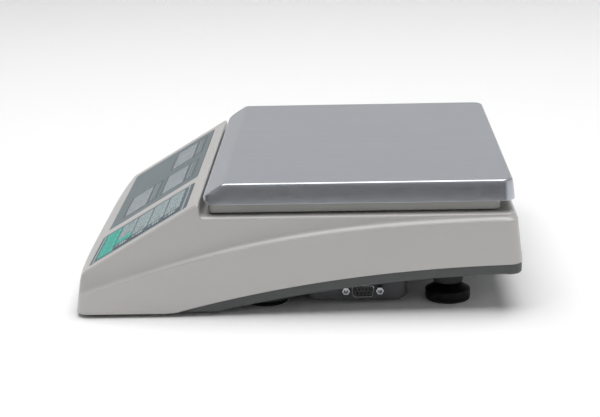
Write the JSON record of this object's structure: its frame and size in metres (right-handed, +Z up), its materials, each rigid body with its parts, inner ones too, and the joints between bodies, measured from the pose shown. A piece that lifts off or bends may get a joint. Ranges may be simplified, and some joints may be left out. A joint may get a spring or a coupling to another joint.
{
  "type": "counting scale",
  "caption": "Bench counting scale with a sloping display and keypad panel, a folded steel pan on a load cell, a battery and port compartment underneath and levelling feet.",
  "frame": {"origin": "centre of the overall footprint at the soles of the feet", "axes": "+Z up, +X to the operator's right, the operator stands at -Y"},
  "size_m": [0.314, 0.3323, 0.0971],
  "materials": {
    "housing_plastic": "fine texture",
    "base_plastic": "fine texture",
    "stainless": "satin",
    "carrier_plastic": "fine texture",
    "aluminium": "milled",
    "zinc_steel": "zinc plated",
    "window_sheet": "smoked sheet",
    "lcd_glass": "blank glass",
    "circuit_board": "solder mask",
    "overlay": "printed film",
    "battery_case": "moulded",
    "black_plastic": "moulded",
    "connector_shell": "tin plated",
    "vial": "clear tinted",
    "foot_plastic": "moulded",
    "rubber": "soft",
    "key_grey": "printed film",
    "key_green": "printed film",
    "key_dark": "printed film"
  },
  "bodies": {
    "root": {"upper_housing": "housing_plastic", "lower_base": "base_plastic", "load_cell": "aluminium", "load_cell_spacer": "zinc_steel", "chassis_plate": "zinc_steel", "overload_stop": "zinc_steel", "display_window": "window_sheet", "lcd_weight": "lcd_glass", "lcd_unit_weight": "lcd_glass", "lcd_count": "lcd_glass", "display_board": "circuit_board", "keypad_circuit": "circuit_board", "keypad_overlay": "overlay", "battery": "battery_case", "main_board": "circuit_board", "supply_jack": "black_plastic", "power_switch_body": "black_plastic", "serial_port_shell": "connector_shell", "serial_port_insert": "black_plastic", "jack_screw_front": "connector_shell", "jack_screw_rear": "connector_shell", "spirit_level": "vial"},
    "carrier": {"pan_carrier": "carrier_plastic", "load_cell_adaptor": "aluminium"},
    "pan": {"weighing_pan": "stainless"},
    "battery_cover": {"battery_cover": "base_plastic"},
    "rocker": {"power_rocker": "black_plastic"},
    "sole_front_left": {"sole_front_left": "rubber"},
    "foot_front_left": {"foot_front_left": "foot_plastic"},
    "sole_front_right": {"sole_front_right": "rubber"},
    "foot_front_right": {"foot_front_right": "foot_plastic"},
    "sole_rear_left": {"sole_rear_left": "rubber"},
    "foot_rear_left": {"foot_rear_left": "foot_plastic"},
    "sole_rear_right": {"sole_rear_right": "rubber"},
    "foot_rear_right": {"foot_rear_right": "foot_plastic"},
    "key_row1_col1": {"key_row1_col1": "key_green"},
    "key_row1_col2": {"key_row1_col2": "key_green"},
    "key_row1_col3": {"key_row1_col3": "key_green"},
    "key_row1_col4": {"key_row1_col4": "key_green"},
    "key_row1_col5": {"key_row1_col5": "key_green"},
    "key_row2_col1": {"key_row2_col1": "key_grey"},
    "key_row2_col2": {"key_row2_col2": "key_grey"},
    "key_row2_col3": {"key_row2_col3": "key_grey"},
    "key_row2_col4": {"key_row2_col4": "key_green"},
    "key_row2_col5": {"key_row2_col5": "key_dark"},
    "key_row3_col1": {"key_row3_col1": "key_grey"},
    "key_row3_col2": {"key_row3_col2": "key_grey"},
    "key_row3_col3": {"key_row3_col3": "key_grey"},
    "key_row3_col4": {"key_row3_col4": "key_grey"},
    "key_row3_col5": {"key_row3_col5": "key_dark"},
    "key_row4_col1": {"key_row4_col1": "key_grey"},
    "key_row4_col2": {"key_row4_col2": "key_grey"},
    "key_row4_col3": {"key_row4_col3": "key_grey"},
    "key_row4_col4": {"key_row4_col4": "key_grey"},
    "key_row4_col5": {"key_row4_col5": "key_dark"},
    "key_row5_col1": {"key_row5_col1": "key_grey"},
    "key_row5_col2": {"key_row5_col2": "key_grey"},
    "key_row5_col3": {"key_row5_col3": "key_grey"},
    "key_row5_col4": {"key_row5_col4": "key_grey"},
    "key_row5_col5": {"key_row5_col5": "key_dark"}
  },
  "joints": [
    {"name": "battery_cover_slide", "type": "slide", "parent": "root", "child": "battery_cover", "axis": [-1, 0, 0], "range_m": [0, 0.07]},
    {"name": "cell_deflection", "type": "slide", "parent": "root", "child": "carrier", "axis": [0, 0, -1], "range_m": [0, 0.0005], "stiffness_N_per_m": 600000, "deforming": ["load_cell"]},
    {"name": "pan_lift", "type": "slide", "parent": "carrier", "child": "pan", "axis": [0, 0, 1], "range_m": [0, 0.06]},
    {"name": "power_rocker_tilt", "type": "hinge", "parent": "root", "child": "rocker", "pos_m": [-0.084, 0.15838, 0.05565], "axis": [1, 0, 0], "range_deg": [0, 16]},
    {"name": "screw_foot_front_left", "type": "hinge", "parent": "sole_front_left", "child": "foot_front_left", "pos_m": [-0.118, -0.0245, 0], "axis": [0, 0, -1], "range_deg": [-270, 2880]},
    {"name": "screw_foot_front_right", "type": "hinge", "parent": "sole_front_right", "child": "foot_front_right", "pos_m": [0.118, -0.0245, 0], "axis": [0, 0, -1], "range_deg": [-270, 2880]},
    {"name": "screw_foot_rear_left", "type": "hinge", "parent": "sole_rear_left", "child": "foot_rear_left", "pos_m": [-0.118, 0.1114, 0], "axis": [0, 0, -1], "range_deg": [-270, 2880]},
    {"name": "screw_foot_rear_right", "type": "hinge", "parent": "sole_rear_right", "child": "foot_rear_right", "pos_m": [0.118, 0.1114, 0], "axis": [0, 0, -1], "range_deg": [-270, 2880]},
    {"name": "advance_foot_front_left", "type": "slide", "parent": "root", "child": "sole_front_left", "axis": [0, 0, -1], "range_m": [-0.00095, 0.01005]},
    {"name": "advance_foot_front_right", "type": "slide", "parent": "root", "child": "sole_front_right", "axis": [0, 0, -1], "range_m": [-0.00095, 0.01005]},
    {"name": "advance_foot_rear_left", "type": "slide", "parent": "root", "child": "sole_rear_left", "axis": [0, 0, -1], "range_m": [-0.00095, 0.01005]},
    {"name": "advance_foot_rear_right", "type": "slide", "parent": "root", "child": "sole_rear_right", "axis": [0, 0, -1], "range_m": [-0.00095, 0.01005]},
    {"name": "touch_key_row1_col1", "type": "slide", "parent": "root", "child": "key_row1_col1", "axis": [0, 0.511, -0.8596], "range_m": [0, 0.0004], "stiffness_N_per_m": 2000},
    {"name": "touch_key_row1_col2", "type": "slide", "parent": "root", "child": "key_row1_col2", "axis": [0, 0.511, -0.8596], "range_m": [0, 0.0004], "stiffness_N_per_m": 2000},
    {"name": "touch_key_row1_col3", "type": "slide", "parent": "root", "child": "key_row1_col3", "axis": [0, 0.511, -0.8596], "range_m": [0, 0.0004], "stiffness_N_per_m": 2000},
    {"name": "touch_key_row1_col4", "type": "slide", "parent": "root", "child": "key_row1_col4", "axis": [0, 0.511, -0.8596], "range_m": [0, 0.0004], "stiffness_N_per_m": 2000},
    {"name": "touch_key_row1_col5", "type": "slide", "parent": "root", "child": "key_row1_col5", "axis": [0, 0.511, -0.8596], "range_m": [0, 0.0004], "stiffness_N_per_m": 2000},
    {"name": "touch_key_row2_col1", "type": "slide", "parent": "root", "child": "key_row2_col1", "axis": [0, 0.511, -0.8596], "range_m": [0, 0.0004], "stiffness_N_per_m": 2000},
    {"name": "touch_key_row2_col2", "type": "slide", "parent": "root", "child": "key_row2_col2", "axis": [0, 0.511, -0.8596], "range_m": [0, 0.0004], "stiffness_N_per_m": 2000},
    {"name": "touch_key_row2_col3", "type": "slide", "parent": "root", "child": "key_row2_col3", "axis": [0, 0.511, -0.8596], "range_m": [0, 0.0004], "stiffness_N_per_m": 2000},
    {"name": "touch_key_row2_col4", "type": "slide", "parent": "root", "child": "key_row2_col4", "axis": [0, 0.511, -0.8596], "range_m": [0, 0.0004], "stiffness_N_per_m": 2000},
    {"name": "touch_key_row2_col5", "type": "slide", "parent": "root", "child": "key_row2_col5", "axis": [0, 0.511, -0.8596], "range_m": [0, 0.0004], "stiffness_N_per_m": 2000},
    {"name": "touch_key_row3_col1", "type": "slide", "parent": "root", "child": "key_row3_col1", "axis": [0, 0.511, -0.8596], "range_m": [0, 0.0004], "stiffness_N_per_m": 2000},
    {"name": "touch_key_row3_col2", "type": "slide", "parent": "root", "child": "key_row3_col2", "axis": [0, 0.511, -0.8596], "range_m": [0, 0.0004], "stiffness_N_per_m": 2000},
    {"name": "touch_key_row3_col3", "type": "slide", "parent": "root", "child": "key_row3_col3", "axis": [0, 0.511, -0.8596], "range_m": [0, 0.0004], "stiffness_N_per_m": 2000},
    {"name": "touch_key_row3_col4", "type": "slide", "parent": "root", "child": "key_row3_col4", "axis": [0, 0.511, -0.8596], "range_m": [0, 0.0004], "stiffness_N_per_m": 2000},
    {"name": "touch_key_row3_col5", "type": "slide", "parent": "root", "child": "key_row3_col5", "axis": [0, 0.511, -0.8596], "range_m": [0, 0.0004], "stiffness_N_per_m": 2000},
    {"name": "touch_key_row4_col1", "type": "slide", "parent": "root", "child": "key_row4_col1", "axis": [0, 0.511, -0.8596], "range_m": [0, 0.0004], "stiffness_N_per_m": 2000},
    {"name": "touch_key_row4_col2", "type": "slide", "parent": "root", "child": "key_row4_col2", "axis": [0, 0.511, -0.8596], "range_m": [0, 0.0004], "stiffness_N_per_m": 2000},
    {"name": "touch_key_row4_col3", "type": "slide", "parent": "root", "child": "key_row4_col3", "axis": [0, 0.511, -0.8596], "range_m": [0, 0.0004], "stiffness_N_per_m": 2000},
    {"name": "touch_key_row4_col4", "type": "slide", "parent": "root", "child": "key_row4_col4", "axis": [0, 0.511, -0.8596], "range_m": [0, 0.0004], "stiffness_N_per_m": 2000},
    {"name": "touch_key_row4_col5", "type": "slide", "parent": "root", "child": "key_row4_col5", "axis": [0, 0.511, -0.8596], "range_m": [0, 0.0004], "stiffness_N_per_m": 2000},
    {"name": "touch_key_row5_col1", "type": "slide", "parent": "root", "child": "key_row5_col1", "axis": [0, 0.511, -0.8596], "range_m": [0, 0.0004], "stiffness_N_per_m": 2000},
    {"name": "touch_key_row5_col2", "type": "slide", "parent": "root", "child": "key_row5_col2", "axis": [0, 0.511, -0.8596], "range_m": [0, 0.0004], "stiffness_N_per_m": 2000},
    {"name": "touch_key_row5_col3", "type": "slide", "parent": "root", "child": "key_row5_col3", "axis": [0, 0.511, -0.8596], "range_m": [0, 0.0004], "stiffness_N_per_m": 2000},
    {"name": "touch_key_row5_col4", "type": "slide", "parent": "root", "child": "key_row5_col4", "axis": [0, 0.511, -0.8596], "range_m": [0, 0.0004], "stiffness_N_per_m": 2000},
    {"name": "touch_key_row5_col5", "type": "slide", "parent": "root", "child": "key_row5_col5", "axis": [0, 0.511, -0.8596], "range_m": [0, 0.0004], "stiffness_N_per_m": 2000}
  ],
  "couplings": [
    {"joint": "advance_foot_front_left", "follows": "screw_foot_front_left", "m_per_rad": 0.00019894},
    {"joint": "advance_foot_front_right", "follows": "screw_foot_front_right", "m_per_rad": 0.00019894},
    {"joint": "advance_foot_rear_left", "follows": "screw_foot_rear_left", "m_per_rad": 0.00019894},
    {"joint": "advance_foot_rear_right", "follows": "screw_foot_rear_right", "m_per_rad": 0.00019894}
  ]
}
